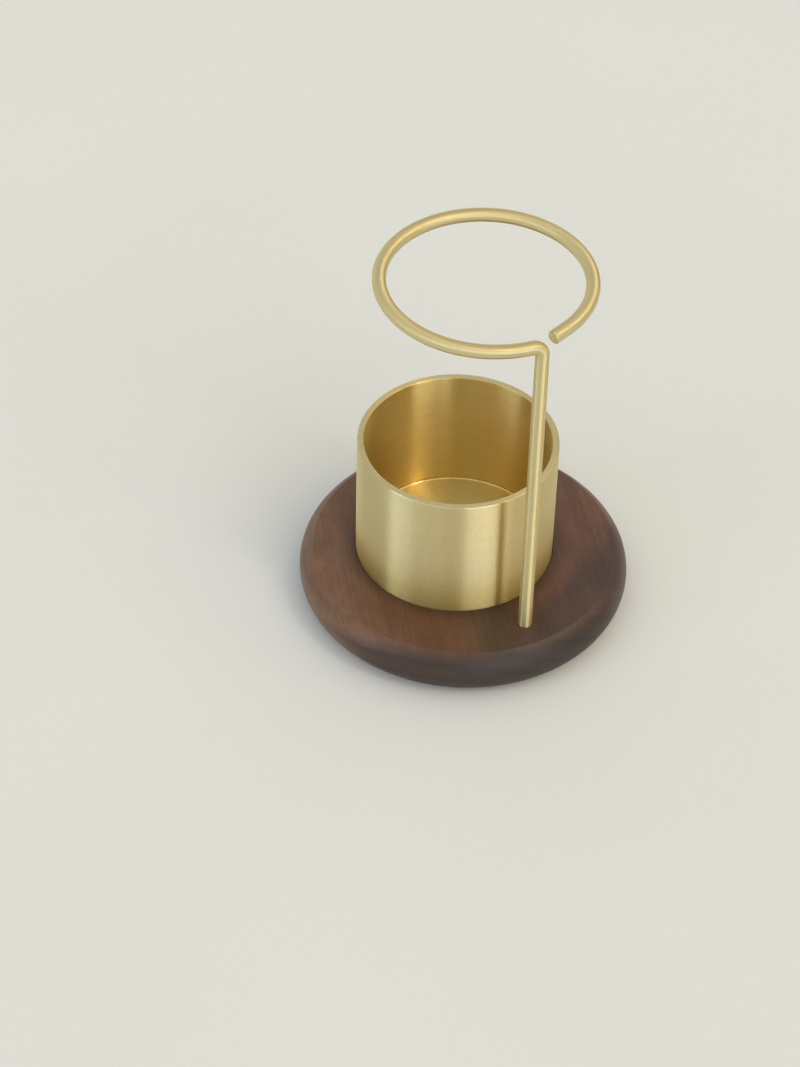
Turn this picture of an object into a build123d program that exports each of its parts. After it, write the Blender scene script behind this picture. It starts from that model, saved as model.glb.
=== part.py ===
# A round desk pen holder: a turned walnut base, a brass cup let into its top, and one brass
# rod that stands in the base and is bent into an open ring over the cup.
# The frame: origin at the centre of the underside, on the surface that the holder stands on,
# +Z up, +X to the right and -Y towards the front.

from build123d import *
import math
import os

# Walnut base, a disc with a bulging edge
base_diameter = 73.3
base_thickness = 10.5
base_edge_bulge = 3.0
base_edge_ease = 0.4

# Felt pad under the base, let in a little so that its edge can't catch
pad_diameter = 54.0
pad_thickness = 1.0
pad_recess_depth = 0.5
pad_clearance = 0.2

# Brass cup: a length of tube with a disc brazed in as its floor
cup_outer_diameter = 44.0
cup_wall_thickness = 1.5
cup_height = 30.4
cup_x = -2.2
cup_y = 1.2
cup_seat_depth = 1.0
cup_seat_clearance = 0.2
cup_rim_round = 0.25
cup_floor_thickness = 1.5
cup_floor_clearance = 0.02
cup_floor_chamfer = 0.3

# Threaded boss brazed under the cup floor, and the screw that pulls the cup down
boss_diameter = 8.0
boss_height = 5.0
boss_chamfer = 0.3
boss_clearance = 0.2
screw_diameter = 4.0
screw_length = 8.0
screw_head_diameter = 7.6
screw_head_height = 2.2
screw_sink = 0.2
screw_thread_clearance = 0.03
screw_hole_clearance = 0.25
screw_head_clearance = 0.1
screw_socket_sides = 6
screw_socket_width = 2.5
screw_socket_depth = 1.4
screw_tip_chamfer = 0.4

# Brass rod: its leg, the bend at the top and the open ring
rod_diameter = 3.0
rod_hole_depth = 8.0
rod_hole_clearance = 0.03
rod_end_chamfer = 0.3
ring_x = 2.0
ring_y = -3.5
ring_diameter = 44.0
ring_height = 78.4
bend_radius = 2.4
# how far the leg stands outside the ring's centreline, and at what angle in degrees
leg_stand_off = 1.4
leg_angle = -61.0
# the rod runs in from the bend on a slightly tighter arc, over this angle in degrees
run_out_angle = 109.0
# angle from the leg to where the ring's arc stops, and the straight stretch after it
ring_gap_angle = 18.0
ring_tail = 4.0

# Worked-out levels
base_bottom = pad_thickness - pad_recess_depth
base_top = base_bottom + base_thickness
cup_bottom = base_top - cup_seat_depth
cup_rim = base_top + cup_height
rod_foot = base_top - rod_hole_depth
ring_level = base_top + ring_height
screw_face = pad_thickness + screw_sink

# Worked-out radii
base_radius = base_diameter / 2
base_flat_radius = base_radius - base_edge_bulge
cup_outer_radius = cup_outer_diameter / 2
cup_inner_radius = cup_outer_radius - cup_wall_thickness
rod_radius = rod_diameter / 2
ring_radius = ring_diameter / 2
leg_radius = ring_radius + leg_stand_off
screw_radius = screw_diameter / 2
head_radius = screw_head_diameter / 2


def disc(radius, bottom, top, x=0.0, y=0.0):
    """An upright cylinder between two levels."""
    return Pos(x, y, bottom) * extrude(Circle(radius), amount=top - bottom)


def circle_edges(part, radius, level):
    """The part's round edges of one radius at one level."""
    tolerance = 1e-4
    return [
        edge for edge in part.edges().filter_by(GeomType.CIRCLE)
        if abs(edge.radius - radius) < tolerance and abs(edge.arc_center.Z - level) < tolerance
    ]


def point_on(centre, radius, angle):
    """A point in plan, at an angle in radians round a centre."""
    return (centre[0] + radius * math.cos(angle), centre[1] + radius * math.sin(angle))


ring_centre = (ring_x, ring_y)
leg_foot = point_on(ring_centre, leg_radius, math.radians(leg_angle))


def screw_shape(head_gap, shank_gap, length):
    """A countersunk screw's outline turned round its axis, head down, grown by its gaps."""
    head = head_radius + head_gap
    shank = screw_radius + shank_gap
    with BuildPart() as turned:
        with BuildSketch(Plane.XZ):
            with BuildLine():
                Polyline(
                    (0, 0),
                    (head, 0),
                    (shank, screw_head_height),
                    (shank, length),
                    (0, length),
                    close=True,
                )
            make_face()
        revolve(axis=Axis.Z)
    return Pos(cup_x, cup_y, screw_face) * turned.part


def make_blank():
    """The turned walnut disc with its bulging edge, before anything is cut into it."""
    with BuildPart() as turned:
        with BuildSketch(Plane.XZ):
            with BuildLine():
                middle = (base_radius, base_bottom + base_thickness / 2)
                Line((0, base_bottom), (base_flat_radius, base_bottom))
                ThreePointArc((base_flat_radius, base_bottom), middle, (base_flat_radius, base_top))
                Line((base_flat_radius, base_top), (0, base_top))
                Line((0, base_top), (0, base_bottom))
            make_face()
        revolve(axis=Axis.Z)
    blank = turned.part
    creases = circle_edges(blank, base_flat_radius, base_top)
    creases += circle_edges(blank, base_flat_radius, base_bottom)
    return fillet(creases, base_edge_ease)


def make_base():
    """The base with the cup's seat, the screw's way through it and the rod's blind hole."""
    boss_pocket_floor = cup_bottom - boss_height - boss_clearance
    base = make_blank()
    base -= disc(cup_outer_radius + cup_seat_clearance, cup_bottom, base_top, cup_x, cup_y)
    base -= disc(boss_diameter / 2 + boss_clearance, boss_pocket_floor, cup_bottom, cup_x, cup_y)
    base -= disc(pad_diameter / 2 + pad_clearance, base_bottom, pad_thickness)
    base -= disc(head_radius + screw_head_clearance, pad_thickness, screw_face, cup_x, cup_y)
    base -= screw_shape(screw_head_clearance, screw_hole_clearance, boss_pocket_floor - screw_face)
    base -= disc(rod_radius + rod_hole_clearance, rod_foot, base_top, *leg_foot)
    return base


def make_cup_wall():
    """The brass tube, with its rim eased inside and out."""
    wall = disc(cup_outer_radius, cup_bottom, cup_rim, cup_x, cup_y)
    wall -= disc(cup_inner_radius, cup_bottom, cup_rim, cup_x, cup_y)
    rim = circle_edges(wall, cup_outer_radius, cup_rim) + circle_edges(wall, cup_inner_radius, cup_rim)
    return fillet(rim, min(cup_rim_round, cup_wall_thickness / 3))


def make_cup_floor():
    """The disc brazed into the tube's foot, chamfered where it meets the wall."""
    radius = cup_inner_radius - cup_floor_clearance
    top = cup_bottom + cup_floor_thickness
    floor = disc(radius, cup_bottom, top, cup_x, cup_y)
    return chamfer(circle_edges(floor, radius, top), min(cup_floor_chamfer, cup_floor_thickness / 3))


def make_cup_boss():
    """The threaded boss under the cup floor, tapped right through."""
    radius = boss_diameter / 2
    bottom = cup_bottom - boss_height
    boss = disc(radius, bottom, cup_bottom, cup_x, cup_y)
    boss = chamfer(circle_edges(boss, radius, bottom), boss_chamfer)
    return boss - disc(screw_radius + screw_thread_clearance, bottom, cup_bottom, cup_x, cup_y)


def make_cup_screw():
    """The countersunk screw with its hexagon socket."""
    screw = screw_shape(0.0, 0.0, screw_length)
    tip = screw_face + screw_length
    screw = chamfer(circle_edges(screw, screw_radius, tip), screw_tip_chamfer)
    socket = extrude(
        RegularPolygon(screw_socket_width / 2, screw_socket_sides, major_radius=False),
        amount=screw_socket_depth,
    )
    return screw - Pos(cup_x, cup_y, screw_face) * socket


def make_felt_pad():
    """The felt disc that the holder stands on."""
    return disc(pad_diameter / 2, 0.0, pad_thickness)


def level_arc(centre, radius, start, end):
    """An arc at the ring's level, between two angles in radians."""
    points = [point_on(centre, radius, angle) for angle in (start, (start + end) / 2, end)]
    return ThreePointArc(*[(x, y, ring_level) for x, y in points])


def rod_path():
    """The rod's centreline: leg, bend, run-in arc, ring and straight end, each tangent to the next."""
    start_angle = math.radians(leg_angle)
    touch_angle = start_angle - math.radians(run_out_angle)

    # the run-in arc touches the ring's circle, and stops one bend radius short of the leg
    along = leg_radius * math.cos(math.radians(run_out_angle))
    reach = leg_radius**2 + ring_radius**2 - bend_radius**2 - 2 * ring_radius * along
    run_in_radius = reach / (2 * (ring_radius - along))
    run_in_centre = point_on(ring_centre, ring_radius - run_in_radius, touch_angle)
    leg_direction = math.atan2(leg_foot[1] - run_in_centre[1], leg_foot[0] - run_in_centre[0])
    bend_angle = leg_direction - math.atan2(bend_radius, run_in_radius)

    # the bend stands upright, from the top of the leg to the start of the run-in arc
    bend_end = point_on(run_in_centre, run_in_radius, bend_angle)
    half_way = math.sin(math.radians(45))
    bend_bottom = (*leg_foot, ring_level - bend_radius)
    bend_middle = (
        bend_end[0] + (leg_foot[0] - bend_end[0]) * half_way,
        bend_end[1] + (leg_foot[1] - bend_end[1]) * half_way,
        ring_level - bend_radius * (1 - half_way),
    )

    # the ring goes most of the way round, and its last stretch before the cut is straight
    stop_angle = start_angle + math.radians(ring_gap_angle) - 2 * math.pi
    far_angle = (touch_angle + stop_angle) / 2
    stop = point_on(ring_centre, ring_radius, stop_angle)
    cut = (
        stop[0] + ring_tail * math.sin(stop_angle),
        stop[1] - ring_tail * math.cos(stop_angle),
    )
    return [
        Line((*leg_foot, rod_foot), bend_bottom),
        ThreePointArc(bend_bottom, bend_middle, (*bend_end, ring_level)),
        level_arc(run_in_centre, run_in_radius, bend_angle, touch_angle),
        level_arc(ring_centre, ring_radius, touch_angle, far_angle),
        level_arc(ring_centre, ring_radius, far_angle, stop_angle),
        Line((*stop, ring_level), (*cut, ring_level)),
    ]


def make_ring_rod():
    """The whole rod in one piece, with both cut ends chamfered."""
    section = Pos(*leg_foot, rod_foot) * Circle(rod_radius)
    rod = sweep(section, path=Wire(rod_path()))
    ends = rod.faces().filter_by(GeomType.PLANE)
    return chamfer(ends.edges(), rod_end_chamfer)


pieces = {
    "base": make_base(),
    "cup_wall": make_cup_wall(),
    "cup_floor": make_cup_floor(),
    "cup_boss": make_cup_boss(),
    "cup_screw": make_cup_screw(),
    "ring_rod": make_ring_rod(),
    "felt_pad": make_felt_pad(),
}

os.makedirs("parts", exist_ok=True)
for name, piece in pieces.items():
    export_step(piece, os.path.join("parts", name + ".step"))
    print(name, "volume", round(piece.volume, 1), "mm3")

path_length = sum(edge.length for edge in rod_path())
rod_volume = math.pi * rod_radius**2 * path_length
print("rod length", round(path_length, 1), "mm, plain volume", round(rod_volume, 1), "mm3")
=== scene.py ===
import functools
import math

import bpy
from bpy.props import FloatProperty, FloatVectorProperty, IntProperty, PointerProperty
from mathutils import Matrix, Vector


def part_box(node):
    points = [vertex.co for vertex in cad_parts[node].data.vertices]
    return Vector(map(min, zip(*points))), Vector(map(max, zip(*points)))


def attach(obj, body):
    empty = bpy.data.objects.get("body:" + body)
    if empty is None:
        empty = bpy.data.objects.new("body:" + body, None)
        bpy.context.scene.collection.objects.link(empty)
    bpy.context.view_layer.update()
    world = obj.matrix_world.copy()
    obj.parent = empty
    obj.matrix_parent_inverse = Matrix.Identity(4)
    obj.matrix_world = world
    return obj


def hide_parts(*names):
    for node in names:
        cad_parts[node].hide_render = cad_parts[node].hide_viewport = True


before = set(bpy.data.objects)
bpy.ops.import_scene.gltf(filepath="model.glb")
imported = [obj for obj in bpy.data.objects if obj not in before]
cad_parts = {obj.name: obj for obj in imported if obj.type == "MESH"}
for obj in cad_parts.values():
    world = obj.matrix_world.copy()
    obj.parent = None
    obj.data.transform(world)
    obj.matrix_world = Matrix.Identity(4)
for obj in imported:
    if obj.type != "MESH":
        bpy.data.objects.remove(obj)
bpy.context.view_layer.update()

bl_info = {
    "name": "Round Pen Holder",
    "version": (1, 0, 0),
    "blender": (4, 5, 0),
    "location": "3D View > Sidebar > Pen Holder",
    "description": "Makes and lights a walnut base, a brass cup, a ring rod and a felt pad",
    "category": "Object",
}

# Units
MM = 0.001
FULL_TURN = 2 * math.pi

# Points closer than these are one point, in an outline and in a turned mesh
OUTLINE_GAP = 0.002 * MM
MERGE_GAP = 0.001 * MM
# Edges bent more than this stay sharp
SHARP_ANGLE = math.radians(30)
# How far the cutters stand out of the base's top
CUT_ABOVE = 1.0 * MM


def tidy(length):
    """A length read from the frame, rounded to a hundredth of a millimetre."""
    return round(length, 5)


class RoundPiece:
    """The middle, radius and levels of a round node, read from the frame."""

    def __init__(self, node):
        low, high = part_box(node)
        self.x = tidy((low.x + high.x) / 2)
        self.y = tidy((low.y + high.y) / 2)
        self.radius = tidy((high.x - low.x) / 2)
        self.bottom = tidy(low.z)
        self.top = tidy(high.z)
        self.centre = (self.x, self.y, 0.0)


BASE = RoundPiece("base")
CUP = RoundPiece("cup_wall")
CUP_FLOOR = RoundPiece("cup_floor")
BOSS = RoundPiece("cup_boss")
SCREW = RoundPiece("cup_screw")
PAD = RoundPiece("felt_pad")
# the rod's box is as wide as the ring, and the ring reaches its back
ROD = RoundPiece("ring_rod")
ROD_BACK = tidy(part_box("ring_rod")[1].y)


def length(name, millimetres, description):
    """A size, given in millimetres and kept in metres."""
    return FloatProperty(
        name=name, description=description, default=millimetres * MM, min=0.0, precision=5,
        subtype="DISTANCE", unit="LENGTH",
    )


def turn(name, degrees, description):
    """An angle."""
    return FloatProperty(
        name=name, description=description, default=math.radians(degrees), subtype="ANGLE", unit="ROTATION",
    )


def share(name, default, description):
    """A number from 0 to 1."""
    return FloatProperty(
        name=name, description=description, default=default, min=0.0, max=1.0, subtype="FACTOR",
    )


def colour(name, default, description):
    """A linear colour."""
    return FloatVectorProperty(
        name=name, description=description, default=default, size=3, min=0.0, max=1.0, subtype="COLOR",
    )


def count(name, default, description):
    """A whole number."""
    return IntProperty(name=name, description=description, default=default, min=3)


class PENHOLDER_PG_base(bpy.types.PropertyGroup):
    """Sizes and woods of the base."""

    edge_bulge: length("Edge bulge", 3.0, "How far the edge stands out past the flat top")
    edge_ease: length("Edge ease", 0.4, "Radius of the crease between top and edge")
    seat_clearance: length("Seat clearance", 0.2, "Gap between the cup and the wall of its seat")
    boss_clearance: length("Boss clearance", 0.2, "Gap round and under the boss")
    screw_hole: length("Screw hole", 2.25, "Radius of the screw's hole")
    screw_head_height: length("Screw head", 2.2, "Height of the countersink")
    screw_head_clearance: length("Head clearance", 0.1, "Gap round the screw's head")
    pad_clearance: length("Pad clearance", 0.2, "Gap round the felt pad")
    rod_clearance: length("Rod clearance", 0.03, "Gap round the rod in its hole")
    segments: count("Segments", 240, "Steps round the base")
    hole_segments: count("Hole segments", 64, "Steps round the rod's hole")
    grain_turn: turn("Grain direction", 100.0, "Direction of the grain in plan, from +X")
    pale_wood: colour("Pale wood", (0.192, 0.096, 0.053), "The paler wood at the left")
    warm_wood: colour("Warm wood", (0.114, 0.050, 0.029), "The red brown in front")
    olive_wood: colour("Dark streak", (0.064, 0.039, 0.026), "The dark streak in front of the rod")
    red_wood: colour("Red wood", (0.087, 0.042, 0.028), "The wood to the right of the dark streak")
    purple_wood: colour("Purple wood", (0.058, 0.033, 0.028), "The darker heartwood at the right")
    end_wood: colour("End grain", (0.030, 0.020, 0.016), "The end grain at the front and back")
    pore_wood: colour("Pores", (0.022, 0.013, 0.010), "The open pores")
    band_waves: length("Band waves", 6.0, "How far the bands of colour wander")
    ring_spacing: length("Growth rings", 3.4, "Width of one year's growth")
    mottling: share("Mottling", 0.14, "How much the mottling changes the wood")
    fibre_tone: share("Fibres", 0.19, "How much the fibres change the wood")
    pore_depth: share("Pore colour", 0.45, "How dark the open pores are")
    foot_shade: share("Shade at the cup", 0.34, "How much darker the wood is against the cup's foot")
    foot_reach: length("Reach of the shade", 4.0, "How far out from the cup that shade reaches")
    gloss: share("Roughness", 0.40, "Roughness of the oiled surface")


class PENHOLDER_PG_cup(bpy.types.PropertyGroup):
    """Sizes and metal of the cup."""

    wall: length("Wall", 1.5, "Thickness of the tube's wall")
    rim_round: length("Rim round", 0.25, "Radius of the rim's eased edges")
    floor_fillet: length("Floor fillet", 0.4, "Radius of the brazed fillet between floor and wall")
    segments: count("Segments", 256, "Steps round the cup")
    brass: colour("Brass", (0.81, 0.69, 0.39), "Colour of the bare brass")
    dull_brass: colour("Dull brass", (0.77, 0.64, 0.325), "Colour of the brass where it has dulled")
    # painted bounce light: a deeper gold inside the cup, from light bounced between the brass walls, and up
    # the outside from the foot, a painted reflection of the walnut
    bounce_tinted_brass: colour("Aged brass", (0.79, 0.615, 0.225), "Colour inside and at the foot")
    dulling: share("Dulling", 0.35, "How much the lines and patches dull the brass")
    # how much of that painted bounce tint shows, and how far up the outside it reaches
    bounce_tint: share("Aging", 0.85, "How much of the aged colour shows")
    bounce_tint_height: length("Aged height", 14.0, "How far up the outside the aged colour reaches")
    # the brazed fillet gets less of the painted bounce tint
    joint_untinted: share("Bright joint", 0.6, "How much less aged the brazed fillet is")
    foot_shade: share("Shade at the foot", 0.16, "How much darker the outside is at its foot")
    foot_height: length("Height of the shade", 9.0, "How far up that shade reaches")
    line_spacing: length("Line spacing", 0.28, "Mean distance between brushed lines")
    line_length: length("Line length", 9.0, "Mean length of a brushed line")
    speckle: length("Speckle", 0.45, "Width of the fine specks of tarnish")
    tone: share("Tone", 0.05, "How much the lines and the specks change the brass")
    roughness: share("Roughness", 0.40, "Mean roughness of the brushed metal")
    rim_polish: share("Rim polish", 0.13, "How much smoother handling has made the rim")
    stretch: share("Anisotropy", 1.0, "How far highlights spread across the brushed lines")


class PENHOLDER_PG_rod(bpy.types.PropertyGroup):
    """Sizes and metal of the rod."""

    radius: length("Radius", 1.5, "Radius of the rod")
    end_chamfer: length("End chamfer", 0.3, "Chamfer of the cut ends")
    bend_radius: length("Bend radius", 2.4, "Radius of the centreline's bend")
    leg_stand_off: length("Leg stand-off", 1.4, "How far the leg stands outside the ring's centreline")
    leg_turn: turn("Leg direction", -61.0, "Direction of the leg from the ring's centre")
    run_out: turn("Run-in angle", 109.0, "Angle from the bend to the ring's circle")
    gap: turn("Gap", 18.0, "Angle from the leg to where the ring's arc stops")
    tail: length("Straight end", 4.0, "Straight stretch before the cut end")
    sides: count("Sides", 48, "Steps round the rod")
    brass: colour("Brass", (0.80, 0.69, 0.375), "Colour of the drawn brass")
    dull_brass: colour("Dull brass", (0.744, 0.621, 0.300), "Colour of the brass where it has dulled")
    dulling: share("Dulling", 0.25, "How much the lines and patches dull the brass")
    line_length: length("Line length", 4.0, "Mean length of a drawn line")
    roughness: share("Roughness", 0.42, "Mean roughness of the satin finish")
    stretch: share("Anisotropy", 0.95, "How far highlights spread along the rod")


class PENHOLDER_PG_pad(bpy.types.PropertyGroup):
    """Sizes and felt of the pad."""

    edge_round: length("Edge round", 0.2, "Radius of the pad's lower edge")
    nap: length("Nap", 0.05, "Depth of the felt's unevenness")
    nap_size: length("Nap size", 1.6, "Width of one tuft")
    segments: count("Segments", 200, "Steps round the pad")
    felt: colour("Felt", (0.040, 0.039, 0.036), "Colour of the felt")
    light_fibre: colour("Light fibres", (0.110, 0.105, 0.095), "Colour of the lighter fibres in it")


class PENHOLDER_PG_stage(bpy.types.PropertyGroup):
    """Camera, floor and light."""

    camera_place: FloatVectorProperty(
        name="Camera", description="Place of the camera", default=(-0.01432, -0.49955, 0.48517),
        subtype="TRANSLATION", unit="LENGTH",
    )
    look_down: turn("Look down", 43.32, "How far the camera looks down")
    roll: turn("Roll", 1.49, "How far the camera is rolled")
    focal_length: FloatProperty(
        name="Focal length", description="In millimetres", default=104.05, min=1.0, unit="CAMERA",
    )
    floor_size: length("Floor", 8000.0, "Side of the square floor")
    floor: colour("Floor colour", (0.79, 0.83, 0.845), "Colour of the pale floor")
    clouding: share("Clouding", 0.03, "How much darker the floor's faint clouds are")
    light: FloatProperty(name="Light", description="Strength of all the room's light", default=1.0, min=0.0)


PARTS = {
    "base": PENHOLDER_PG_base,
    "cup": PENHOLDER_PG_cup,
    "rod": PENHOLDER_PG_rod,
    "pad": PENHOLDER_PG_pad,
    "stage": PENHOLDER_PG_stage,
}


class PENHOLDER_PG_all(bpy.types.PropertyGroup):
    """All the settings of the pen holder."""

    __annotations__ = {name: PointerProperty(type=group) for name, group in PARTS.items()}


# Node trees

# Where nearly all of a noise's values lie, a mask that rises to full, and one that falls to nothing
NOISE_SPAN = (0.3, 0.7)
RISE = (0.0, 1.0)
FALL = (1.0, 0.0)


def feed(tree, socket, value):
    """Links another node's output to a socket, or sets a plain value on it."""
    if isinstance(value, bpy.types.NodeSocket):
        tree.links.new(value, socket)
    elif value is not None:
        socket.default_value = value


def add(tree, kind, values=(), **settings):
    """A new node, with values for its shown inputs, by place or by name."""
    node = tree.nodes.new(kind)
    for name, value in settings.items():
        setattr(node, name, value)
    shown = [socket for socket in node.inputs if socket.enabled]
    pairs = values.items() if isinstance(values, dict) else enumerate(values)
    for key, value in pairs:
        feed(tree, shown[key] if isinstance(key, int) else next(s for s in shown if s.name == key), value)
    return node


def out(node, name=None):
    """A node's first shown output, or the one with that name."""
    return next(s for s in node.outputs if s.enabled and name in (None, s.name))


def maths(tree, operation, *values):
    """The result of a Math node, in a shader tree or a geometry tree."""
    return out(add(tree, "ShaderNodeMath", values, operation=operation))


def plus(tree, a, b):
    """Two values added."""
    return maths(tree, "ADD", a, b)


def minus(tree, a, b):
    """The second value taken from the first."""
    return maths(tree, "SUBTRACT", a, b)


def times(tree, a, b):
    """Two values multiplied."""
    return maths(tree, "MULTIPLY", a, b)


def weighed(tree, start, *pairs):
    """A start value plus each mask times its weight."""
    for mask, weight in pairs:
        start = plus(tree, start, times(tree, mask, weight))
    return start


def vector_maths(tree, operation, *values):
    """The result of a Vector Math node."""
    return out(add(tree, "ShaderNodeVectorMath", values, operation=operation))


def split(tree, vector):
    """A vector's three parts."""
    node = add(tree, "ShaderNodeSeparateXYZ", (vector,))
    return tuple(node.outputs[name] for name in "XYZ")


def joined(tree, *parts):
    """A vector made of three parts."""
    return out(add(tree, "ShaderNodeCombineXYZ", parts))


def mapped(tree, value, span, to=RISE, smooth=False):
    """A value taken from one range to another, held at its ends."""
    kind = "SMOOTHSTEP" if smooth else "LINEAR"
    return out(add(tree, "ShaderNodeMapRange", (value, *span, *to), interpolation_type=kind))


def mixed(tree, amount, a, b, blend="MIX"):
    """Two colours mixed, each a colour or another node's output."""
    a, b = (c if isinstance(c, bpy.types.NodeSocket) else (*c, 1.0) for c in (a, b))
    values = {"Factor": amount, "A": a, "B": b}
    return out(add(tree, "ShaderNodeMix", values, data_type="RGBA", blend_type=blend))


def noise(tree, place, scale, detail=2.0, roughness=0.5, distortion=0.0):
    """A Noise texture's value."""
    return out(add(tree, "ShaderNodeTexNoise", {
        "Vector": place, "Scale": scale, "Detail": detail, "Roughness": roughness, "Distortion": distortion,
    }))


def new_group(kind, name, inputs, outputs):
    """A node group with named sockets, and its input and output nodes."""
    group = bpy.data.node_groups.new(name, kind)
    for side, sockets in (("INPUT", inputs), ("OUTPUT", outputs)):
        for label, (socket_type, default) in sockets.items():
            socket = group.interface.new_socket(label, in_out=side, socket_type="NodeSocket" + socket_type)
            if default is not None:
                socket.default_value = default
    return group, group.nodes.new("NodeGroupInput"), group.nodes.new("NodeGroupOutput")


# Geometry trees

TURNED_INPUTS = {"Outline": ("Geometry", None), "Segments": ("Int", 192)}


def new_tree(name, inputs, sharp_angle=SHARP_ANGLE):
    """A geometry tree with these inputs and the ones that every piece has, and its ends."""
    shared = {"Sharp Angle": ("Float", sharp_angle), "Material": ("Material", None)}
    return new_group("GeometryNodeTree", name, {**inputs, **shared}, {"Mesh": ("Geometry", None)})


@functools.cache
def turned_tree():
    """Turns an outline, a chain of points at radius x and height z, round an upright axis."""
    inputs = {**TURNED_INPUTS, "Centre": ("Vector", (0.0, 0.0, 0.0))}
    group, start, end = new_tree("Turned piece", inputs)
    outline = start.outputs["Outline"]
    segments = start.outputs["Segments"]
    points = out(add(group, "GeometryNodeAttributeDomainSize", (outline,), component="MESH"), "Point Count")
    rings = out(add(group, "FunctionNodeIntegerMath", (segments, 1), operation="ADD"))
    grid = add(group, "GeometryNodeMeshGrid", {"Vertices X": rings, "Vertices Y": points})

    index = out(add(group, "GeometryNodeInputIndex"))
    step = out(add(group, "FunctionNodeIntegerMath", (index, points), operation="DIVIDE_FLOOR"))
    place = out(add(group, "FunctionNodeIntegerMath", (index, points), operation="MODULO"))
    position = out(add(group, "GeometryNodeInputPosition"))
    sample = add(
        group, "GeometryNodeSampleIndex", {"Geometry": outline, "Value": position, "Index": place},
        data_type="FLOAT_VECTOR", domain="POINT",
    )
    radius, _, level = split(group, out(sample))
    angle = times(group, maths(group, "DIVIDE", step, segments), FULL_TURN)
    across = times(group, radius, maths(group, "COSINE", angle))
    back = times(group, radius, maths(group, "SINE", angle))
    turned = vector_maths(group, "ADD", joined(group, across, back, level), start.outputs["Centre"])
    spun = add(group, "GeometryNodeSetPosition", {"Geometry": grid.outputs["Mesh"], "Position": turned})
    closed = add(group, "GeometryNodeMergeByDistance", {"Geometry": out(spun), "Distance": MERGE_GAP})
    return shade_and_finish(group, out(closed), start, end)


def shade_and_finish(group, geometry, start, end):
    """Ends a tree: sharp edges by their angle, the rest smooth, then real geometry and its material."""
    smooth = {"Geometry": geometry, "Shade Smooth": True}
    shaded_faces = add(group, "GeometryNodeSetShadeSmooth", smooth, domain="FACE")
    bent = out(add(group, "GeometryNodeInputMeshEdgeAngle"), "Unsigned Angle")
    is_sharp = out(add(
        group, "FunctionNodeCompare", (bent, start.outputs["Sharp Angle"]),
        data_type="FLOAT", operation="GREATER_THAN",
    ))
    sharp = {"Geometry": out(shaded_faces), "Selection": is_sharp, "Shade Smooth": False}
    edged = add(group, "GeometryNodeSetShadeSmooth", sharp, domain="EDGE")
    real = add(group, "GeometryNodeRealizeInstances", (out(edged),))
    values = {"Geometry": out(real), "Material": start.outputs["Material"]}
    group.links.new(out(add(group, "GeometryNodeSetMaterial", values)), end.inputs["Mesh"])
    return group


def turned_blank(group, start):
    """The turned piece that another tree starts from."""
    values = {name: start.outputs[name] for name in ("Outline", "Segments", "Sharp Angle")}
    return out(add(group, "GeometryNodeGroup", values, node_tree=turned_tree()))


@functools.cache
def bored_tree():
    """A turned piece with two other solids cut out of it."""
    cutters = ("Cup Cutter", "Rod Cutter")
    inputs = {**TURNED_INPUTS, **{name: ("Object", None) for name in cutters}}
    group, start, end = new_tree("Bored piece", inputs)
    cut = turned_blank(group, start)
    for name in cutters:
        cutter = out(add(group, "GeometryNodeObjectInfo", {"Object": start.outputs[name]}), "Geometry")
        values = {"Mesh 1": cut, "Mesh 2": cutter}
        cut = out(add(group, "GeometryNodeMeshBoolean", values, operation="DIFFERENCE", solver="EXACT"))
    return shade_and_finish(group, cut, start, end)


def stored(group, geometry, name, value, kind="FLOAT_VECTOR"):
    """A geometry with a value kept on its points under a name."""
    values = {"Geometry": geometry, "Name": name, "Value": value}
    return out(add(group, "GeometryNodeStoreNamedAttribute", values, data_type=kind, domain="POINT"))


@functools.cache
def drawn_tree():
    """A round rod along a chain of points, with chamfered ends and its own coordinates for the finish."""
    inputs = {
        "Path": ("Geometry", None),
        "Radius": ("Float", 1.5 * MM),
        "End Chamfer": ("Float", 0.3 * MM),
        "Sides": ("Int", 48),
    }
    group, start, end = new_tree("Drawn rod", inputs)
    radius = start.outputs["Radius"]
    chamfer = start.outputs["End Chamfer"]
    path = out(add(group, "GeometryNodeMeshToCurve", (start.outputs["Path"],)))
    along = out(add(group, "GeometryNodeSplineParameter"), "Length")
    path = stored(group, path, "along", along, kind="FLOAT")
    path = stored(group, path, "heading", out(add(group, "GeometryNodeInputTangent")))
    whole = out(add(group, "GeometryNodeSplineLength"), "Length")
    from_end = maths(group, "MINIMUM", along, minus(group, whole, along))
    cut_share = maths(group, "DIVIDE", minus(group, radius, chamfer), radius)
    taper = mapped(group, from_end, (0.0, chamfer), (cut_share, 1.0))

    round_values = {"Resolution": start.outputs["Sides"], "Radius": radius}
    circle = out(add(group, "GeometryNodeCurvePrimitiveCircle", round_values))
    outward = vector_maths(group, "NORMALIZE", out(add(group, "GeometryNodeInputPosition")))
    profile = stored(group, circle, "outward", outward)
    values = {"Curve": path, "Profile Curve": profile, "Scale": taper, "Fill Caps": True}
    return shade_and_finish(group, out(add(group, "GeometryNodeCurveToMesh", values)), start, end)


@functools.cache
def felted_tree():
    """A turned piece whose surface is pressed in unevenly, like felt."""
    inputs = {**TURNED_INPUTS, "Nap": ("Float", 0.05 * MM), "Nap Size": ("Float", 1.6 * MM)}
    group, start, end = new_tree("Felted piece", inputs, sharp_angle=math.radians(50))
    tufts = noise(group, None, maths(group, "DIVIDE", 1.0, start.outputs["Nap Size"]), detail=3.0)
    depth = times(group, tufts, times(group, start.outputs["Nap"], -1.0))
    offset = vector_maths(group, "MULTIPLY", out(add(group, "GeometryNodeInputNormal"), "Normal"), depth)
    values = {"Geometry": turned_blank(group, start), "Offset": offset}
    return shade_and_finish(group, out(add(group, "GeometryNodeSetPosition", values)), start, end)


def placed(name, data):
    """A new object in the scene."""
    thing = bpy.data.objects.new(name, data)
    bpy.context.scene.collection.objects.link(thing)
    return thing


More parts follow.
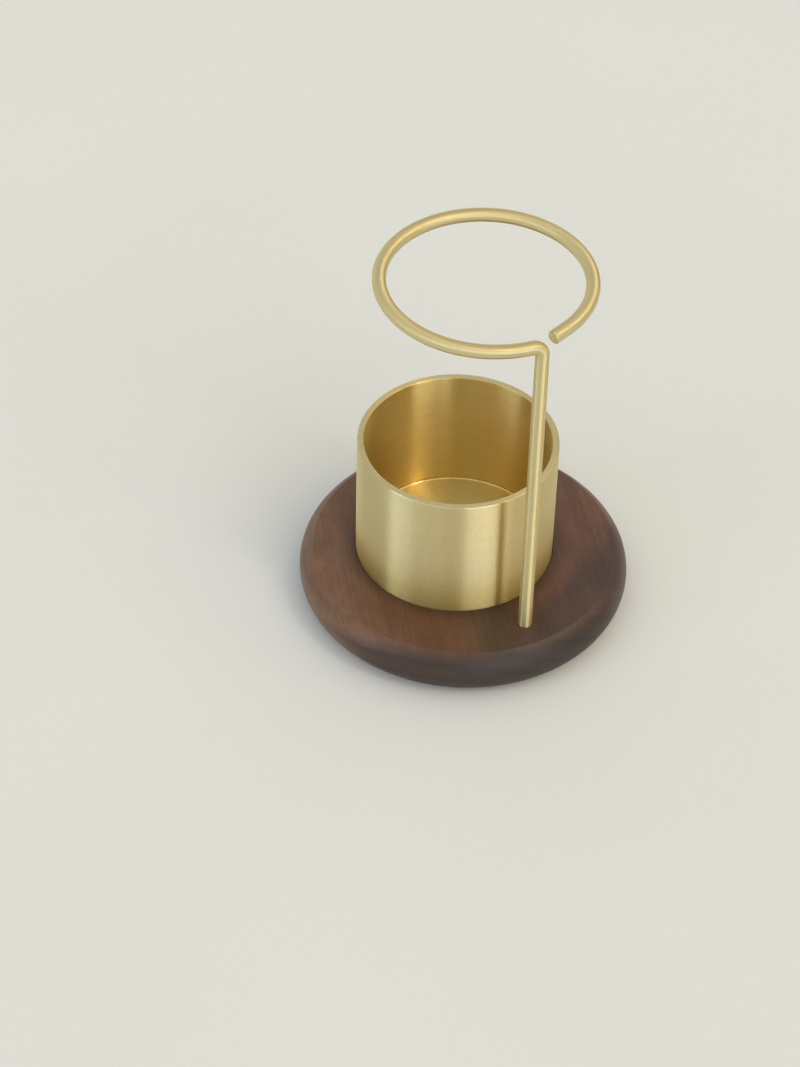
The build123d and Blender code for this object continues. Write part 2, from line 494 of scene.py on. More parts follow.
def grow(name, points, tree, values):
    """A plain mesh object, made by running a geometry tree over a chain of points."""
    chain = bpy.data.meshes.new(name + "_chain")
    chain.from_pydata(points, [(i, i + 1) for i in range(len(points) - 1)], [])
    source = placed(name + "_chain", chain)
    modifier = source.modifiers.new("Shape", "NODES")
    modifier.node_group = tree
    names = {item.name: item.identifier for item in tree.interface.items_tree if item.in_out == "INPUT"}
    for label, value in values.items():
        modifier[names[label]] = value
    graph = bpy.context.evaluated_depsgraph_get()
    mesh = bpy.data.meshes.new_from_object(source.evaluated_get(graph), depsgraph=graph)
    bpy.data.objects.remove(source)
    if not mesh.polygons:
        raise RuntimeError(f"{name} came out with no faces")
    mesh.name = name
    return placed(name, mesh)


def seat(piece, node):
    """Puts a finished piece in the place of its node."""
    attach(piece, "root")
    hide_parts(node)


# Outlines


def arc(centre, radius, start, end, steps=8):
    """Points of an arc in the section's plane, between two angles in degrees."""
    angles = [math.radians(start + (end - start) * i / steps) for i in range(steps + 1)]
    return [(centre[0] + radius * math.cos(a), centre[1] + radius * math.sin(a)) for a in angles]


def as_section(points):
    """Section points as points in space, without neighbours that fall together."""
    kept = [points[0]]
    for point in points[1:]:
        if math.dist(point, kept[-1]) > OUTLINE_GAP:
            kept.append(point)
    return [(x, 0.0, z) for x, z in kept]


def spread(start, end, steps):
    """Points evenly spaced along a straight line of the section."""
    return [tuple(a + (b - a) * i / steps for a, b in zip(start, end)) for i in range(steps + 1)]


def base_outline(s):
    """Half the base's section, from the axis under it, round the bulging edge, to the axis on top."""
    middle = (BASE.bottom + BASE.top) / 2
    half = (BASE.top - BASE.bottom) / 2
    bulge_radius = (half**2 + s.edge_bulge**2) / (2 * s.edge_bulge)
    bulge_centre = BASE.radius - bulge_radius
    ease_level = half - s.edge_ease
    ease_reach = math.sqrt((bulge_radius - s.edge_ease) ** 2 - ease_level**2)
    swing = math.degrees(math.atan2(ease_level, ease_reach))
    crease = bulge_centre + ease_reach
    shoulder = crease - s.edge_ease
    recess = PAD.radius + s.pad_clearance
    return [
        (0.0, PAD.top),
        (recess, PAD.top),
        (recess, BASE.bottom),
        (shoulder, BASE.bottom),
        *arc((crease, middle - ease_level), s.edge_ease, -90, -swing),
        *arc((bulge_centre, middle), bulge_radius, -swing, swing, steps=40),
        *arc((crease, middle + ease_level), s.edge_ease, swing, 90),
        (shoulder, BASE.top),
        (0.0, BASE.top),
    ]


def cup_cutter_outline(s):
    """What is cut from the base for the cup, its boss and its screw."""
    above = BASE.top + CUT_ABOVE
    head = SCREW.radius + s.screw_head_clearance
    boss = BOSS.radius + s.boss_clearance
    boss_floor = BOSS.bottom - s.boss_clearance
    cup = CUP.radius + s.seat_clearance
    return [
        (0.0, BASE.bottom),
        (head, BASE.bottom),
        (head, SCREW.bottom),
        (s.screw_hole, SCREW.bottom + s.screw_head_height),
        (s.screw_hole, boss_floor),
        (boss, boss_floor),
        (boss, CUP.bottom),
        (cup, CUP.bottom),
        (cup, above),
        (0.0, above),
    ]


def cup_outline(s):
    """The tube wall's closed section."""
    inner = CUP.radius - s.wall
    eased = CUP.top - s.rim_round
    return [
        (inner, CUP.bottom),
        (CUP.radius, CUP.bottom),
        (CUP.radius, eased),
        *arc((CUP.radius - s.rim_round, eased), s.rim_round, 0, 90, steps=6),
        *arc((inner + s.rim_round, eased), s.rim_round, 90, 180, steps=6),
        (inner, eased),
        (inner, CUP.bottom),
    ]


def floor_outline(s):
    """Half the floor disc's section."""
    return [
        (0.0, CUP_FLOOR.bottom),
        (CUP_FLOOR.radius, CUP_FLOOR.bottom),
        *arc((CUP_FLOOR.radius - s.floor_fillet, CUP_FLOOR.top + s.floor_fillet), s.floor_fillet, 0, -90),
        (0.0, CUP_FLOOR.top),
    ]


def pad_outline(s):
    """Half the felt pad's section, with three points for each tuft of its unevenness."""
    rows = round(PAD.radius / (s.nap_size / 3))
    inside = PAD.radius - s.edge_round
    return [
        *spread((0.0, PAD.bottom), (inside, PAD.bottom), rows),
        *arc((inside, PAD.bottom + s.edge_round), s.edge_round, -90, 0, steps=4),
        (PAD.radius, PAD.top),
        (0.0, PAD.top),
    ]


def rod_points(s, leg_steps=12, bend_steps=12, run_in_steps=50, ring_steps=110):
    """The rod's centreline, as in the frame: leg, bend, run-in arc, ring and straight end."""
    ring_radius = ROD.radius - s.radius
    centre = Vector((ROD.x, ROD_BACK - ROD.radius))
    level = tidy(ROD.top - s.radius)
    leg_radius = ring_radius + s.leg_stand_off
    touch = s.leg_turn - s.run_out

    def on(middle, radius, angle):
        return middle + radius * Vector((math.cos(angle), math.sin(angle)))

    leg = on(centre, leg_radius, s.leg_turn)
    along = leg_radius * math.cos(s.run_out)
    reach = leg_radius**2 + ring_radius**2 - s.bend_radius**2 - 2 * ring_radius * along
    run_in_radius = reach / (2 * (ring_radius - along))
    run_in_centre = on(centre, ring_radius - run_in_radius, touch)
    to_leg = leg - run_in_centre
    bend_angle = math.atan2(to_leg.y, to_leg.x) - math.atan2(s.bend_radius, run_in_radius)
    bend_end = on(run_in_centre, run_in_radius, bend_angle)
    stop = s.leg_turn + s.gap - FULL_TURN
    stop_point = on(centre, ring_radius, stop)
    cut = stop_point + s.tail * Vector((math.sin(stop), -math.cos(stop)))

    points = [(*leg, ROD.bottom), (*leg, ROD.bottom + s.end_chamfer)]
    points += spread((*leg, BASE.top), (*leg, level - s.bend_radius), leg_steps)
    for i in range(1, bend_steps + 1):
        angle = math.radians(90 * i / bend_steps)
        flat = leg.lerp(bend_end, 1 - math.cos(angle))
        points.append((*flat, level - s.bend_radius * (1 - math.sin(angle))))
    for middle, radius, first, last, steps in (
        (run_in_centre, run_in_radius, bend_angle, touch, run_in_steps),
        (centre, ring_radius, touch, stop, ring_steps),
    ):
        for i in range(1, steps + 1):
            points.append((*on(middle, radius, first + (last - first) * i / steps), level))
    before_cut = cut + (stop_point - cut).normalized() * s.end_chamfer
    return points + [(*before_cut, level), (*cut, level)]


# Finishes


@functools.cache
def brushed_group(broad_share=0.35, line_span=(0.25, 0.75), patch_span=(0.35, 0.65)):
    """Fine lines left by brushing or turning, and broad soft patches where hands have dulled the surface."""
    inputs = {
        "Position": ("Vector", None),
        "Line Scale": ("Vector", (1.0, 1.0, 1.0)),
        "Patch Scale": ("Float", 60.0),
    }
    outputs = {"Lines": ("Float", None), "Patches": ("Float", None)}
    group, start, end = new_group("ShaderNodeTree", "Brushed lines", inputs, outputs)
    position = start.outputs["Position"]
    scaled = vector_maths(group, "MULTIPLY", position, start.outputs["Line Scale"])
    fine = noise(group, scaled, scale=1.0, detail=3.0, roughness=0.7)
    broad = noise(group, scaled, scale=0.31, detail=1.0)
    lines = weighed(group, 0.0, (fine, 1 - broad_share), (broad, broad_share))
    patches = noise(group, position, start.outputs["Patch Scale"])
    group.links.new(mapped(group, lines, line_span), end.inputs["Lines"])
    group.links.new(mapped(group, patches, patch_span, smooth=True), end.inputs["Patches"])
    return group


def brushed(tree, position, line_scale, patch_scale):
    """The lines and patches of the shared brushed-metal group, placed in a material."""
    values = {"Position": position, "Line Scale": line_scale, "Patch Scale": patch_scale}
    node = add(tree, "ShaderNodeGroup", values, node_tree=brushed_group())
    return node.outputs["Lines"], node.outputs["Patches"]


def new_material(name):
    """An empty material, its tree and its Principled BSDF."""
    material = bpy.data.materials.new(name)
    material.use_nodes = True
    tree = material.node_tree
    tree.nodes.clear()
    shader = add(tree, "ShaderNodeBsdfPrincipled")
    end = add(tree, "ShaderNodeOutputMaterial")
    tree.links.new(out(shader), end.inputs["Surface"])
    return material, tree, shader


def plug(tree, shader, **sockets):
    """Feeds a shader's sockets, with underscores for the spaces in their names."""
    for label, value in sockets.items():
        feed(tree, shader.inputs[label.replace("_", " ")], value)


def toned(tree, base, tone):
    """A colour made lighter or darker by a factor that changes over the surface."""
    return mixed(tree, 1.0, base, tone, blend="MULTIPLY")


def varied(tree, base, pattern, depth, span=NOISE_SPAN):
    """A colour that a pattern makes darker and lighter, by the same share each way."""
    return toned(tree, base, mapped(tree, pattern, span, (1 - depth, 1 + depth)))


def bumped(tree, height, strength, depth):
    """A normal tilted by the slopes of a height."""
    return out(add(tree, "ShaderNodeBump", {"Strength": strength, "Distance": depth, "Height": height}))


def object_place(tree):
    """Object coordinates."""
    return add(tree, "ShaderNodeTexCoord").outputs["Object"]


def from_axis(tree, centre):
    """Object coordinates measured from an upright axis, and the distance from it."""
    x, y, z = split(tree, vector_maths(tree, "SUBTRACT", object_place(tree), centre))
    flat = joined(tree, x, y, 0.0)
    return x, y, z, out(add(tree, "ShaderNodeVectorMath", (flat,), operation="LENGTH"), "Value")


def shifted(span, by):
    """A span moved along."""
    return tuple(end + by for end in span)


# Where the cup's masks begin and end: the inside and the brazed joint, out from the bore; the joint, up
# from the base's top; and the rim, up from the start of its round
INSIDE_SPAN = (0.05 * MM, 0.3 * MM)
JOINT_LEVELS = (1.0 * MM, 1.1 * MM)
JOINT_SPAN = (-0.5 * MM, -0.35 * MM)
RIM_SPAN = (-0.1 * MM, 0.0)


def turned_brass(s, centre, lines_roughness=0.07, patches_roughness=0.03):
    """Satin brass, brushed round its axis."""
    material, tree, shader = new_material("Turned brass")
    x, y, z, radius = from_axis(tree, centre)
    level = minus(tree, z, BASE.top)
    line_scale = (1 / s.line_length, 1 / s.line_length, 1 / s.line_spacing)
    lines, patches = brushed(tree, joined(tree, x, y, plus(tree, z, radius)), line_scale, patch_scale=55.0)

    inner = CUP.radius - s.wall
    inside = mapped(tree, radius, shifted(INSIDE_SPAN, inner), FALL, smooth=True)
    outside = minus(tree, 1.0, inside)
    # painted reflection of the walnut: a deeper gold fading up the outside from the foot
    foot = mapped(tree, level, (0.0, s.bounce_tint_height), (s.bounce_tint, 0.0), smooth=True)
    joint = times(tree, inside, mapped(tree, level, JOINT_LEVELS, FALL))
    joint = times(tree, joint, mapped(tree, radius, shifted(JOINT_SPAN, inner)))

    base = mixed(tree, weighed(tree, 0.0, (lines, s.dulling), (patches, s.dulling)), s.brass, s.dull_brass)
    # painted bounce light: deeper gold inside, from light bounced between the walls, and at the foot; the
    # fillet gets less of it
    bounce_mask = maths(tree, "MAXIMUM", times(tree, inside, s.bounce_tint), foot)
    base = mixed(tree, weighed(tree, bounce_mask, (joint, -s.joint_untinted)), base, s.bounce_tinted_brass)
    base = varied(tree, base, lines, s.tone, span=RISE)
    base = varied(tree, base, noise(tree, object_place(tree), 1 / s.speckle, roughness=0.6), s.tone)
    # painted shade: the outside is darker towards its foot
    shade = mapped(tree, level, (0.0, s.foot_height), (s.foot_shade, 0.0), smooth=True)
    base = toned(tree, base, minus(tree, 1.0, times(tree, outside, shade)))

    smooth_rim = mapped(tree, z, shifted(RIM_SPAN, CUP.top - s.rim_round), (0.0, -s.rim_polish))
    rough = weighed(
        tree, s.roughness - (lines_roughness + patches_roughness) / 2,
        (lines, lines_roughness), (patches, patches_roughness),
        (inside, -0.02), (joint, -0.17), (outside, smooth_rim),
    )
    normal = bumped(tree, lines, strength=0.35, depth=0.004 * MM)
    around = joined(tree, times(tree, y, -1.0), x, 0.0)
    plug(
        tree, shader, Base_Color=base, Metallic=1.0, Roughness=rough, Normal=normal,
        Anisotropic=s.stretch, Anisotropic_Rotation=0.25, Tangent=vector_maths(tree, "NORMALIZE", around),
    )
    return material


def attribute(tree, name, output):
    """A value that was kept on the rod's points."""
    return out(add(tree, "ShaderNodeAttribute", attribute_name=name), output)


def drawn_brass(s, lines_round=9.0, lines_roughness=0.08):
    """Satin brass rod with fine lines along it."""
    material, tree, shader = new_material("Drawn brass")
    x, y, _ = split(tree, attribute(tree, "outward", "Vector"))
    position = joined(tree, x, y, attribute(tree, "along", "Fac"))
    line_scale = (lines_round, lines_round, 1 / s.line_length)
    lines, patches = brushed(tree, position, line_scale, patch_scale=90.0)
    base = mixed(tree, weighed(tree, 0.0, (lines, s.dulling), (patches, s.dulling)), s.brass, s.dull_brass)
    rough = weighed(tree, s.roughness - lines_roughness / 2, (lines, lines_roughness))
    normal = bumped(tree, lines, strength=0.2, depth=0.004 * MM)
    plug(
        tree, shader, Base_Color=base, Metallic=1.0, Roughness=rough, Normal=normal,
        Anisotropic=s.stretch, Tangent=vector_maths(tree, "NORMALIZE", attribute(tree, "heading", "Vector")),
    )
    return material


# The darker heartwood lies to the right of a slanting line through this place in plan
HEART_SLANT = math.radians(58.0)
HEART_PLACE = (10.0 * MM, -28.0 * MM)
HEART_EDGE = (-2.0 * MM, 3.0 * MM)
HEART_WAVES = 16.0 * MM
HEART_DEPTH = 0.85
# The growth rings go round a pith far below the board. Each darkens slowly and ends quickly. They show
# this much on the face and on the end grain
PITH = (14.0 * MM, -62.0 * MM)
RING_WAVES = 3.0 * MM
LATE_WOOD = (0.45, 0.93)
RING_END = (0.93, 1.0)
RING_DEPTHS = (0.16, 0.5)
# How squarely the surface cuts the fibres where end grain begins and where it is full
END_GRAIN_SPAN = (0.38, 0.78)
END_GRAIN_DEPTH = 0.82
# Half the cells hold a pore, up to this size and with a soft edge, as shares of a cell
PORE_CELLS = (0.5, 1.0)
PORE_SIZES = (0.0, 0.34)
PORE_EDGE = (0.0, 0.14)


def stretched(tree, board, along, across):
    """Board coordinates scaled along the grain and across it."""
    return vector_maths(tree, "MULTIPLY", board, (along, across, across))


def banded_wood(tree, s, across):
    """The bands of colour across the board, from its left side to its right."""
    ramp = add(tree, "ShaderNodeValToRGB", (mapped(tree, across, (-BASE.radius, BASE.radius)),))
    # where each band stands, its wood, and how much lighter it is
    bands = (
        (0.0, s.pale_wood, 0.95),
        (0.15, s.pale_wood, 1.0),
        (0.31, s.warm_wood, 1.0),
        (0.38, s.warm_wood, 1.05),
        (0.53, s.olive_wood, 1.0),
        (0.555, s.olive_wood, 1.0),
        (0.60, s.red_wood, 1.0),
        (1.0, s.red_wood, 1.7),
    )
    elements = ramp.color_ramp.elements
    while len(elements) < len(bands):
        elements.new(0.5)
    for element, (stop, wood, gain) in zip(elements, bands):
        element.position = stop
        element.color = (*(part * gain for part in wood), 1.0)
    return out(ramp, "Color")


def walnut(s):
    """Oiled walnut, as one solid block: bands, growth rings, fibres, open pores and darker end grain."""
    material, tree, shader = new_material("Oiled walnut")
    place = object_place(tree)
    values = {"Vector": place, "Rotation": (0.0, 0.0, -s.grain_turn)}
    board = out(add(tree, "ShaderNodeMapping", values, vector_type="POINT"))
    _, sideways, upwards = split(tree, board)

    # slow waves that bend the bands and rings, longer along the grain than across it
    drift = minus(tree, noise(tree, stretched(tree, board, along=0.35, across=1.0), scale=45.0), 0.5)
    base = banded_wood(tree, s, weighed(tree, 0.0, (sideways, -1.0), (drift, s.band_waves)))

    x, y, _ = split(tree, place)
    to_right = times(tree, minus(tree, x, HEART_PLACE[0]), math.sin(HEART_SLANT))
    to_front = times(tree, minus(tree, y, HEART_PLACE[1]), -math.cos(HEART_SLANT))
    beyond = weighed(tree, plus(tree, to_right, to_front), (drift, HEART_WAVES))
    heart = mapped(tree, beyond, HEART_EDGE, (0.0, HEART_DEPTH), smooth=True)
    base = mixed(tree, heart, base, s.purple_wood)

    # painted shade: the wood is darker against the cup's foot, where the cup shades it
    from_cup = minus(tree, from_axis(tree, CUP.centre)[-1], CUP.radius)
    shade = mapped(tree, from_cup, (0.0, s.foot_reach), (1 - s.foot_shade, 1.0), smooth=True)
    base = toned(tree, base, shade)

    # soft mottling, a little longer along the grain
    blotches = noise(tree, stretched(tree, board, along=0.6, across=1.0), 230.0, detail=3.0, roughness=0.55)
    base = varied(tree, base, blotches, s.mottling)

    # where the surface cuts across the fibres, the end grain shows
    normal = out(add(tree, "ShaderNodeNewGeometry"), "Normal")
    grain = (math.cos(s.grain_turn), math.sin(s.grain_turn), 0.0)
    facing = out(add(tree, "ShaderNodeVectorMath", (normal, grain), operation="DOT_PRODUCT"), "Value")
    end_grain = mapped(tree, maths(tree, "ABSOLUTE", facing), END_GRAIN_SPAN, smooth=True)

    squares = [
        maths(tree, "POWER", minus(tree, value, pith), 2.0)
        for value, pith in zip((sideways, upwards), PITH)
    ]
    ring_radius = weighed(tree, maths(tree, "SQRT", plus(tree, *squares)), (drift, RING_WAVES))
    growth = maths(tree, "FRACT", maths(tree, "DIVIDE", ring_radius, s.ring_spacing))
    late = mapped(tree, growth, LATE_WOOD, smooth=True)
    rings = times(tree, late, mapped(tree, growth, RING_END, FALL, smooth=True))

    # fibres and pores, long along the grain and fine across it
    long_place = stretched(tree, board, along=90.0, across=1500.0)
    fibres = noise(tree, long_place, scale=1.0, detail=5.0, roughness=0.7)
    base = varied(tree, base, fibres, s.fibre_tone)
    cells = stretched(tree, board, along=210.0, across=3400.0)
    pore = add(tree, "ShaderNodeTexVoronoi", {"Vector": cells, "Scale": 1.0, "Randomness": 1.0})
    size = mapped(tree, split(tree, pore.outputs["Color"])[0], PORE_CELLS, PORE_SIZES)
    pores = mapped(tree, minus(tree, size, pore.outputs["Distance"]), PORE_EDGE)
    base = mixed(tree, times(tree, pores, s.pore_depth), base, s.pore_wood)

    # the end grain has drunk more oil, and the rings show most on it
    base = mixed(tree, times(tree, end_grain, END_GRAIN_DEPTH), base, s.end_wood)
    base = mixed(tree, times(tree, rings, mapped(tree, end_grain, RISE, RING_DEPTHS)), base, s.pore_wood)

    height = weighed(tree, times(tree, pores, -1.0), (fibres, 0.4))
    rough = weighed(tree, s.gloss - 0.05, (fibres, 0.12), (pores, 0.2), (end_grain, 0.1))
    plug(tree, shader, Base_Color=base, Roughness=rough, Normal=bumped(tree, height, 0.3, 0.03 * MM))
    return material


def wool_felt(s, thread_span=(0.5, 0.68), thread_depth=0.7, mottle_tones=(0.75, 1.1)):
    """Pressed charcoal felt with lighter fibres."""
    material, tree, shader = new_material("Charcoal felt")
    place = object_place(tree)
    curl = noise(tree, place, scale=900.0, detail=3.0, distortion=1.6)
    threads = mapped(tree, curl, thread_span, (0.0, thread_depth))
    base = mixed(tree, threads, s.felt, s.light_fibre)
    base = toned(tree, base, mapped(tree, noise(tree, place, scale=180.0), NOISE_SPAN, mottle_tones))
    plug(
        tree, shader, Base_Color=base, Roughness=0.95, Normal=bumped(tree, curl, 0.6, 0.08 * MM),
        Sheen_Weight=0.25, Sheen_Roughness=0.5,
    )
    return material


ZINC = (0.55, 0.56, 0.57)
DULL_ZINC = (0.48, 0.49, 0.48)


def plated_steel(centre, mark_scale=(300.0, 300.0, 9000.0), roughness=0.28, marks_roughness=0.12):
    """Zinc-plated steel with fine turning marks."""
    material, tree, shader = new_material("Plated steel")
    x, y, z, radius = from_axis(tree, centre)
    lines, patches = brushed(tree, joined(tree, x, y, plus(tree, z, radius)), mark_scale, patch_scale=400.0)
    base = mixed(tree, patches, ZINC, DULL_ZINC)
    rough = weighed(tree, roughness, (lines, marks_roughness))
    plug(tree, shader, Base_Color=base, Metallic=1.0, Roughness=rough)
    return material


# Operators


class PENHOLDER_OT_walnut_base(bpy.types.Operator):
    """Turn the walnut base, bore it for the cup and the rod, and oil it"""

    bl_idname = "penholder.walnut_base"
    bl_label = "Walnut base"

    def execute(self, context):
        s = context.scene.pen_holder.base
        rod = context.scene.pen_holder.rod
        cutter_values = {"Segments": s.segments, "Centre": CUP.centre}
        cup_cutter = grow("cup_cutter", as_section(cup_cutter_outline(s)), turned_tree(), cutter_values)
        hole = rod.radius + s.rod_clearance
        above = BASE.top + CUT_ABOVE
        leg_x, leg_y, foot = rod_points(rod)[0]
        hole_outline = as_section([(0.0, foot), (hole, foot), (hole, above), (0.0, above)])
        hole_values = {"Segments": s.hole_segments, "Centre": (leg_x, leg_y, 0.0)}
        rod_cutter = grow("rod_cutter", hole_outline, turned_tree(), hole_values)
        values = {
            "Segments": s.segments,
            "Cup Cutter": cup_cutter,
            "Rod Cutter": rod_cutter,
            "Material": walnut(s),
        }
        piece = grow("turned_base", as_section(base_outline(s)), bored_tree(), values)
        for cutter in (cup_cutter, rod_cutter):
            bpy.data.objects.remove(cutter)
        seat(piece, "base")
        return {"FINISHED"}


class PENHOLDER_OT_brass_cup(bpy.types.Operator):
    """Turn the brass cup's wall and its floor disc"""

    bl_idname = "penholder.brass_cup"
    bl_label = "Brass cup"

    def execute(self, context):
        s = context.scene.pen_holder.cup
        values = {"Segments": s.segments, "Centre": CUP.centre, "Material": turned_brass(s, CUP.centre)}
        wall = grow("cup_tube", as_section(cup_outline(s)), turned_tree(), values)
        seat(wall, "cup_wall")
        disc = grow("cup_floor_disc", as_section(floor_outline(s)), turned_tree(), values)
        seat(disc, "cup_floor")
        return {"FINISHED"}


class PENHOLDER_OT_cup_fixing(bpy.types.Operator):
    """Finish the boss and the screw that hold the cup down"""

    bl_idname = "penholder.cup_fixing"
    bl_label = "Cup fixing"

    def execute(self, context):
        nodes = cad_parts
        nodes["cup_boss"].material_slots[0].material = bpy.data.materials["Turned brass"]
        nodes["cup_screw"].material_slots[0].material = plated_steel(SCREW.centre)
        return {"FINISHED"}


class PENHOLDER_OT_ring_rod(bpy.types.Operator):
    """Bend the brass rod into its leg and its open ring"""

    bl_idname = "penholder.ring_rod"
    bl_label = "Ring rod"

    def execute(self, context):
        s = context.scene.pen_holder.rod
        values = {
            "Radius": s.radius,
            "End Chamfer": s.end_chamfer,
            "Sides": s.sides,
            "Material": drawn_brass(s),
        }
        seat(grow("bent_ring_rod", rod_points(s), drawn_tree(), values), "ring_rod")
        return {"FINISHED"}


class PENHOLDER_OT_felt_pad(bpy.types.Operator):
    """Cut the felt disc under the base"""

    bl_idname = "penholder.felt_pad"
    bl_label = "Felt pad"

    def execute(self, context):
        s = context.scene.pen_holder.pad
        values = {"Segments": s.segments, "Nap": s.nap, "Nap Size": s.nap_size, "Material": wool_felt(s)}
        piece = grow("felt_disc", as_section(pad_outline(s)), felted_tree(), values)
        seat(piece, "felt_pad")
        return {"FINISHED"}


# The room's light is four kinds, each with its tints low down, half way up and high up
COOL_DAYLIGHT = ((0.82, 1.00, 1.20), (0.90, 1.01, 1.20), (0.97, 0.92, 0.78))
DAYLIGHT = ((0.89, 0.99, 1.10), (0.98, 0.98, 1.03), (1.00, 0.86, 0.66))
LAMPLIGHT = ((0.80, 1.00, 1.05), (1.00, 0.92, 0.69), (1.00, 0.79, 0.54))
EVEN_LIGHT = ((1.00, 1.00, 0.95), (1.00, 0.99, 0.93), (1.00, 0.98, 0.92))

# Its soft windows, side by side all the way round. Each has its azimuth from the front towards the right
# and its half width in degrees, its kind, and how bright it is low down, half way up and high up
WINDOWS = (
    (-137.0, 22.0, EVEN_LIGHT, (0.76, 0.64, 0.55)),
    (-93.0, 22.0, EVEN_LIGHT, (0.32, 0.51, 0.60)),
    (-65.5, 5.5, COOL_DAYLIGHT, (2.35, 2.35, 1.00)),
    (-52.5, 7.5, COOL_DAYLIGHT, (2.00, 0.92, 1.00)),
    (-27.5, 17.5, EVEN_LIGHT, (0.60, 0.90, 0.76)),
    (0.0, 10.0, LAMPLIGHT, (0.35, 0.90, 0.80)),
    (20.0, 10.0, DAYLIGHT, (2.75, 1.95, 1.10)),
    (40.5, 10.5, DAYLIGHT, (2.75, 1.95, 1.20)),
    (54.5, 3.5, LAMPLIGHT, (0.00, 0.30, 13.0)),
    (61.5, 3.5, LAMPLIGHT, (0.00, 0.40, 0.50)),
    (84.5, 19.5, LAMPLIGHT, (0.00, 1.00, 1.70)),
    (128.0, 24.0, LAMPLIGHT, (0.30, 0.60, 1.15)),
    (176.5, 24.5, EVEN_LIGHT, (0.85, 0.56, 0.60)),
)
# Heights where low meets half way up, half way up meets high, and high meets the ceiling
WINDOW_STEPS = tuple(math.radians(step) for step in (15.0, 38.0, 66.0))
STEP_SOFTNESS = math.radians(5)
SIDE_SOFTNESS = math.radians(2)
LEVELS = ("Low", "Middle", "High")
CEILING = (0.62, 0.72, 0.80)
DARK = (0.0, 0.0, 0.0)


def soft(step):
    """Where a soft step begins and ends."""
    return (step - STEP_SOFTNESS, step + STEP_SOFTNESS)


def window_group():
    """One soft window of the room, by azimuth and height."""
    inputs = {
        "Azimuth": ("Float", None),
        "Height": ("Float", None),
        "Facing": ("Float", 0.0),
        "Half Width": ("Float", math.radians(20)),
        **{level: ("Vector", (1.0, 1.0, 1.0)) for level in LEVELS},
    }
    group, start, end = new_group("ShaderNodeTree", "Soft window", inputs, {"Glow": ("Color", None)})
    away = minus(group, start.outputs["Azimuth"], start.outputs["Facing"])
    away = maths(group, "ABSOLUTE", maths(group, "WRAP", away, math.pi, -math.pi))
    side = (start.outputs["Half Width"], SIDE_SOFTNESS)
    glow = mapped(group, away, (minus(group, *side), plus(group, *side)), FALL, smooth=True)

    light, *higher = [start.outputs[name] for name in LEVELS] + [DARK]
    for step, above in zip(WINDOW_STEPS, higher):
        light = mixed(group, mapped(group, start.outputs["Height"], soft(step), smooth=True), light, above)
    group.links.new(vector_maths(group, "SCALE", light, glow), end.inputs["Glow"])
    return group


def room_light(tree):
    """The colour of the light from each direction: the ceiling and the sum of the windows."""
    x, y, z = split(tree, add(tree, "ShaderNodeTexCoord").outputs["Generated"])
    azimuth = maths(tree, "ARCTAN2", x, times(tree, y, -1.0))
    height = maths(tree, "ARCSINE", z)
    group = window_group()
    total = mixed(tree, mapped(tree, height, soft(WINDOW_STEPS[-1]), smooth=True), DARK, CEILING)
    for facing, half_width, tints, strengths in WINDOWS:
        lights = {
            level: [strength * part for part in tint]
            for level, tint, strength in zip(LEVELS, tints, strengths)
        }
        window = add(tree, "ShaderNodeGroup", {
            "Azimuth": azimuth, "Height": height,
            "Facing": math.radians(facing), "Half Width": math.radians(half_width), **lights,
        }, node_tree=group)
        total = vector_maths(tree, "ADD", total, out(window))
    return total


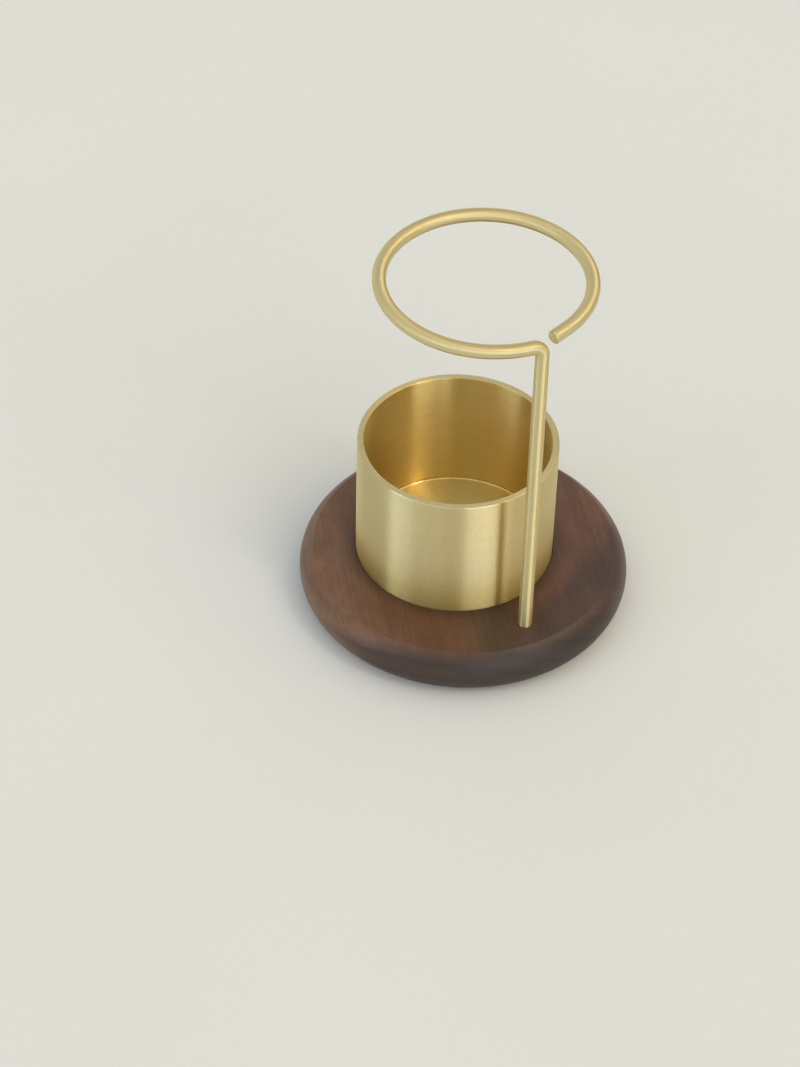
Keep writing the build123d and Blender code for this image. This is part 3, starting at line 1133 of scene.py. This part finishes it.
class PENHOLDER_OT_stage(bpy.types.Operator):
    """Set the camera, the pale floor and the soft light"""

    bl_idname = "penholder.stage"
    bl_label = "Stage"

    def execute(self, context):
        s = context.scene.pen_holder.stage
        self.place_camera(context, s)
        self.lay_floor(context, s)
        self.light_room(context, s)
        return {"FINISHED"}

    def place_camera(self, context, s):
        camera = placed("camera", bpy.data.cameras.new("camera"))
        camera.data.lens = s.focal_length
        turned_down = Matrix.Rotation(math.radians(90) - s.look_down, 4, "X")
        rolled = Matrix.Rotation(s.roll, 4, "Z")
        camera.matrix_world = Matrix.Translation(s.camera_place) @ turned_down @ rolled
        context.scene.camera = camera

    def lay_floor(self, context, s):
        half = s.floor_size / 2
        mesh = bpy.data.meshes.new("floor")
        corners = [(-half, -half, 0.0), (half, -half, 0.0), (half, half, 0.0), (-half, half, 0.0)]
        mesh.from_pydata(corners, [], [(0, 1, 2, 3)])
        floor = placed("floor", mesh)
        material, tree, shader = new_material("Pale floor")
        clouds = mapped(tree, noise(tree, object_place(tree), scale=9.0), NOISE_SPAN)
        cloudy = [part * (1 - s.clouding) for part in s.floor]
        base = mixed(tree, clouds, s.floor, cloudy)
        plug(tree, shader, Base_Color=base, Roughness=0.6, Specular_IOR_Level=0.25)
        mesh.materials.append(material)

    def light_room(self, context, s):
        world = bpy.data.worlds.new("Soft room")
        world.use_nodes = True
        tree = world.node_tree
        tree.nodes.clear()
        background = add(tree, "ShaderNodeBackground", (room_light(tree), s.light))
        end = add(tree, "ShaderNodeOutputWorld")
        tree.links.new(out(background), end.inputs["Surface"])
        context.scene.world = world
        context.scene.view_settings.view_transform = "Standard"


STEPS = (
    PENHOLDER_OT_walnut_base,
    PENHOLDER_OT_brass_cup,
    PENHOLDER_OT_cup_fixing,
    PENHOLDER_OT_ring_rod,
    PENHOLDER_OT_felt_pad,
    PENHOLDER_OT_stage,
)


class PENHOLDER_PT_panel(bpy.types.Panel):
    """The pen holder's steps and settings in the sidebar"""

    bl_idname = "PENHOLDER_PT_panel"
    bl_label = "Pen Holder"
    bl_space_type = "VIEW_3D"
    bl_region_type = "UI"
    bl_category = "Pen Holder"

    def draw(self, context):
        for step in STEPS:
            self.layout.operator(step.bl_idname)
        settings = context.scene.pen_holder
        for part in PARTS:
            box = self.layout.box()
            box.label(text=part.capitalize())
            group = getattr(settings, part)
            for name in group.__annotations__:
                box.prop(group, name)


CLASSES = (*PARTS.values(), PENHOLDER_PG_all, *STEPS, PENHOLDER_PT_panel)


def register():
    for each in CLASSES:
        bpy.utils.register_class(each)
    bpy.types.Scene.pen_holder = PointerProperty(type=PENHOLDER_PG_all)


def unregister():
    del bpy.types.Scene.pen_holder
    for each in reversed(CLASSES):
        bpy.utils.unregister_class(each)


def main():
    """Makes every piece and the stage."""
    register()
    for step in STEPS:
        family, name = step.bl_idname.split(".")
        getattr(getattr(bpy.ops, family), name)()


if __name__ == "__main__":
    main()
